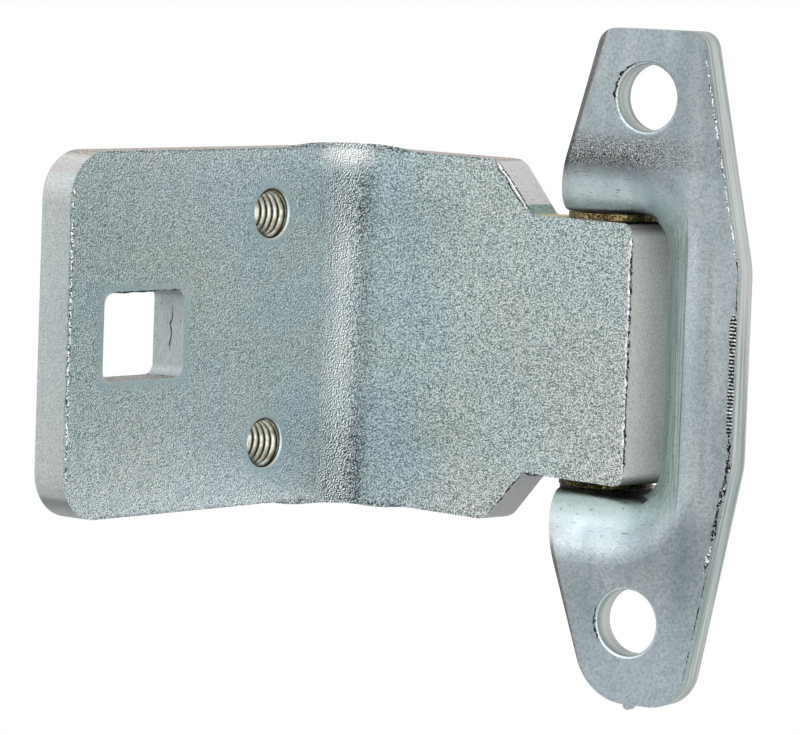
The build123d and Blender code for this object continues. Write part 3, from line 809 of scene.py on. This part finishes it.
def burrRidge(name, path, out, side, body, material):
    shape = burrs[name]
    draw = np.random.default_rng(shape["seed"])
    reach = np.append(0, np.cumsum(np.linalg.norm(np.diff(path, axis=0), axis=1)))
    spot = np.linspace(0, reach[-1], int(reach[-1] / burrTube["step"]))
    centre = np.stack([np.interp(spot, reach, path[:, axis]) for axis in range(3)], -1)
    knots = np.linspace(0, reach[-1], int(reach[-1] / shape["bead"]))
    swell = np.interp(spot, knots, draw.uniform(0.0, burrTube["swell"], len(knots)))
    swell = np.clip(swell, shape.get("least", burrTube["least"]), 1.0)
    wander = np.interp(spot, knots, draw.uniform(-1, 1, len(knots))) * shape["wander"]
    crownFrom, crownHalf = burrTube["crown"]
    swell = swell + shape.get("crown", 0.0) * np.exp(-((reach[-1] - crownFrom - spot) / crownHalf) ** 2)
    fromEnd = np.minimum(spot, reach[-1] - spot)
    swell = swell * np.clip(fromEnd / burrTube["taper"], burrTube["tip"], 1)
    turn = np.linspace(0, 2 * math.pi, burrTube["sides"], endpoint=False)
    ring = np.cos(turn)[:, None] * side * shape["width"] + np.sin(turn)[:, None] * out * shape["height"]
    centre = centre + wander[:, None] * side
    grid = (centre[:, None, :] + swell[:, None, None] * ring) * mm
    piece = closedSurface(name, grid, False)
    piece.data.materials.append(material)
    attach(piece, body)


tornBurr, brightBurr, darkBurr, rungedBurr = (
    burrFinish(name) for name in ("tornBurr", "brightBurr", "darkBurr", "rungedBurr"))
front = np.array([0.0, -1.0, 0.0])
right = np.array([1.0, 0.0, 0.0])
pinSpot = pinAxis / mm
legEdge = crease / mm + (leaf["legLength"] - burrPlaces["legEndBurr"]) * legDir
legHalf, knuckleHalf = leaf["legBurrHalf"] * up, leaf["knuckleBurrHalf"] * up
burrReach = leaf["knuckleReach"] - burrPlaces["knuckleBurr"]
knuckleEdge = pinSpot + burrReach * armDir + leaf["frontFromPin"] * armNormal
crackEdge = knuckleEdge + burrPlaces["knuckleCrack"] * armDir
windowWidth, windowHeight = leaf["windowSize"]
windowNear = crease / mm + (leaf["windowAlong"] - windowWidth / 2) * legDir + leaf["windowDrop"] * up
overTop, nearIn, farIn = burrPlaces["windowBurr"]
windowTop = windowNear + (windowHeight / 2 + overTop) * up
behind, above, runBack, runDown = burrPlaces["windowCrack"]
crackTop = windowNear - behind * legNormal + above * up
shoulder = np.array([pinSpot + leaf["frontFromPin"] * armNormal + along * armDir + high * up
                     for along, high in (leaf["shoulderTop"], leaf["shoulderFoot"])])
lowShoulder = shoulder * (1, 1, -1)
underUp, underFrom, underTo = burrPlaces["underKnuckleLine"]
underKnuckle = lowShoulder[1:] + underUp * up + np.array([[underFrom], [underTo]]) * armDir
for name, path, out, side, finish in (
    ("legEndBurr", (legEdge - legHalf, legEdge + legHalf), legNormal, legDir, tornBurr),
    ("knuckleBurr", (knuckleEdge - knuckleHalf, knuckleEdge + knuckleHalf), armNormal, armDir, brightBurr),
    ("knuckleCrack", (crackEdge - knuckleHalf, crackEdge + knuckleHalf), armNormal, armDir, darkBurr),
    ("windowBurr", (windowTop + nearIn * legDir, windowTop + (windowWidth - farIn) * legDir),
     legNormal, up, darkBurr),
    ("windowCrack", (crackTop, crackTop - runBack * legNormal - runDown * up), legDir, legNormal, darkBurr),
    ("shoulderBurr", shoulder, armNormal, armDir, brightBurr),
    ("shoulderCrack", shoulder + burrPlaces["shoulderCrack"] * armDir, armNormal, armDir, darkBurr),
    ("shoulderLine", shoulder + burrPlaces["shoulderLine"] * armDir, armNormal, armDir, darkBurr),
    ("lowShoulderLine", lowShoulder, armNormal, armDir, darkBurr),
    ("underKnuckleLine", underKnuckle, armNormal, up, darkBurr),
):
    burrRidge(name, np.array(path), out, side, "door", finish)


def rimPath(top, bottom, inset):  # points down the flange's right edge between two heights
    spots = np.linspace(top, bottom, burrTube["rimSteps"])
    corner = np.array(flange["rim"])[::-1]
    edge = np.interp(spots, corner[:, 1], corner[:, 0]) - inset
    return np.stack([edge, np.full_like(spots, flange["front"]), spots], -1)


for name, finish in {
    "rimBurrTop": tornBurr, "rimLine": darkBurr, "rimLadder": rungedBurr,
    "rimBurrLow": darkBurr, "rimFlecks": tornBurr, "rimTail": darkBurr,
}.items():
    burrRidge(name, rimPath(*burrPlaces[name]), front, right, "pillar", finish)
bolts = mounts["pillar_bolts"]["dims"]
for name, half in (("upperHoleBurr", 0.5), ("lowerHoleBurr", -0.5)):
    outside, first, last = burrPlaces[name]
    turns = np.radians(np.linspace(first, last, burrTube["holeSteps"]))
    rimRadius = bolts["hole_r_mm"] + outside
    spots = [rimRadius * np.cos(turns), np.full_like(turns, flange["front"]),
             half * bolts["spacing_y_mm"] + rimRadius * np.sin(turns)]
    burrRidge(name, np.stack(spots, -1), front, right, "pillar", darkBurr)
print("burrs along the sheared edges")

# Studio: white surround with a key softbox right of the camera, one above on the left, and darker stretches
studio = {
    "surround": 0.85,
    "whiteShare": 0.30,  # of the white background that metal reflects
    "lobes": {  # direction, full inside degrees, none outside degrees, strength
        "keyRight": ((0.74, -0.67, 0.08), 12, 28, 1.5),
        "backRight": ((0.74, 0.67, -0.05), 25, 50, 0.25),
        "frontHigh": ((0.18, -0.72, 0.67), 16, 34, 1.5),
        "topLeft": ((-0.45, -0.62, 0.64), 16, 38, 1.0),
        "darkLow": ((-0.42, -0.80, -0.42), 8, 27, -0.85),
        "darkFront": ((-0.02, -1.0, -0.05), 9, 22, -0.75),
    },
    "floorDepth": -240.0,  # mm
    "floorRadius": 300.0,  # mm
    "floorSteps": 96,
    "floorTone": "#e2e3e1",
    "floorRough": 0.9,
}


def studioWorld():
    world = bpy.data.worlds.new("softStudio")
    bpy.context.scene.world = world
    world.use_nodes = True
    tree = world.node_tree
    tree.nodes.clear()
    direction = add(tree, "TexCoord", out="Generated")
    level = studio["surround"]
    for way, inner, outer, strength in studio["lobes"].values():
        unit = np.array(way) / np.linalg.norm(way)
        near = add(tree, "VectorMath", {0: direction, 1: unit}, "Value", **dotted)
        none, full = (math.cos(math.radians(angle)) for angle in (outer, inner))
        lobe = add(tree, "MapRange", {0: near, 1: none, 2: full, 4: strength}, **smoothStep)
        level = add(tree, "Math", {0: lobe, 1: level}, operation="ADD")
    level = add(tree, "Math", {0: level, 1: 0.0}, **largest)
    isCamera = add(tree, "LightPath", out="Is Camera Ray")
    mirrored = add(tree, "Math", {
        0: add(tree, "LightPath", out="Is Glossy Ray"), 1: add(tree, "LightPath", out="Is Transmission Ray"),
    }, **largest)
    share = studio["whiteShare"]
    white = add(tree, "Math", {0: mirrored, 1: share, 2: isCamera}, use_clamp=True, **timesPlus)
    strength = add(tree, "Mix", {0: white, 2: level, 3: 1.0})
    light = add(tree, "Background", {"Color": (1, 1, 1, 1), "Strength": strength})
    add(tree, "OutputWorld", {"Surface": light})


def studioFloor():
    steps = np.linspace(0, 2 * math.pi, studio["floorSteps"], endpoint=False)
    rim = np.stack([np.cos(steps), np.sin(steps), 0 * steps], -1) * studio["floorRadius"] * mm
    mesh = bpy.data.meshes.new("studioFloor")
    mesh.from_pydata((rim + [0, 0, studio["floorDepth"] * mm]).tolist(), [], [list(range(len(steps)))])
    floor = bpy.data.objects.new("studioFloor", mesh)
    bpy.context.scene.collection.objects.link(floor)
    material, tree = newMaterial("paleFloor")
    shader = add(tree, "BsdfPrincipled", {
        "Base Color": linear(studio["floorTone"]), "Roughness": studio["floorRough"],
    })
    add(tree, "OutputMaterial", {"Surface": shader})
    mesh.materials.append(material)


camera = {
    "place": (387.38, -693.66, 68.44),  # mm
    "azimuth": 31.928,  # degrees
    "elevation": 5.109,
    "roll": 2.054,
    "focalPixels": 5202.0,
    "imageWidth": 800,
    "sensor": 36.0,  # mm
    "clip": (0.01, 20.0),  # m
}


def studioCamera():
    azimuth, elevation, roll = (math.radians(camera[key]) for key in ("azimuth", "elevation", "roll"))
    data = bpy.data.cameras.new("photoView")
    data.sensor_width = camera["sensor"]
    data.sensor_fit = "HORIZONTAL"
    data.lens = camera["focalPixels"] * camera["sensor"] / camera["imageWidth"]
    data.clip_start, data.clip_end = camera["clip"]
    view = bpy.data.objects.new("photoView", data)
    turn = Matrix.Rotation(azimuth, 4, "Z") @ Matrix.Rotation(math.pi / 2 - elevation, 4, "X")
    turn = turn @ Matrix.Rotation(roll, 4, "Z")
    view.matrix_world = Matrix.Translation(metres(camera["place"])) @ turn
    bpy.context.scene.collection.objects.link(view)
    bpy.context.scene.camera = view


studioWorld()
studioFloor()
studioCamera()
bpy.context.scene.view_settings.view_transform = "Standard"
print("studio, floor and camera set")
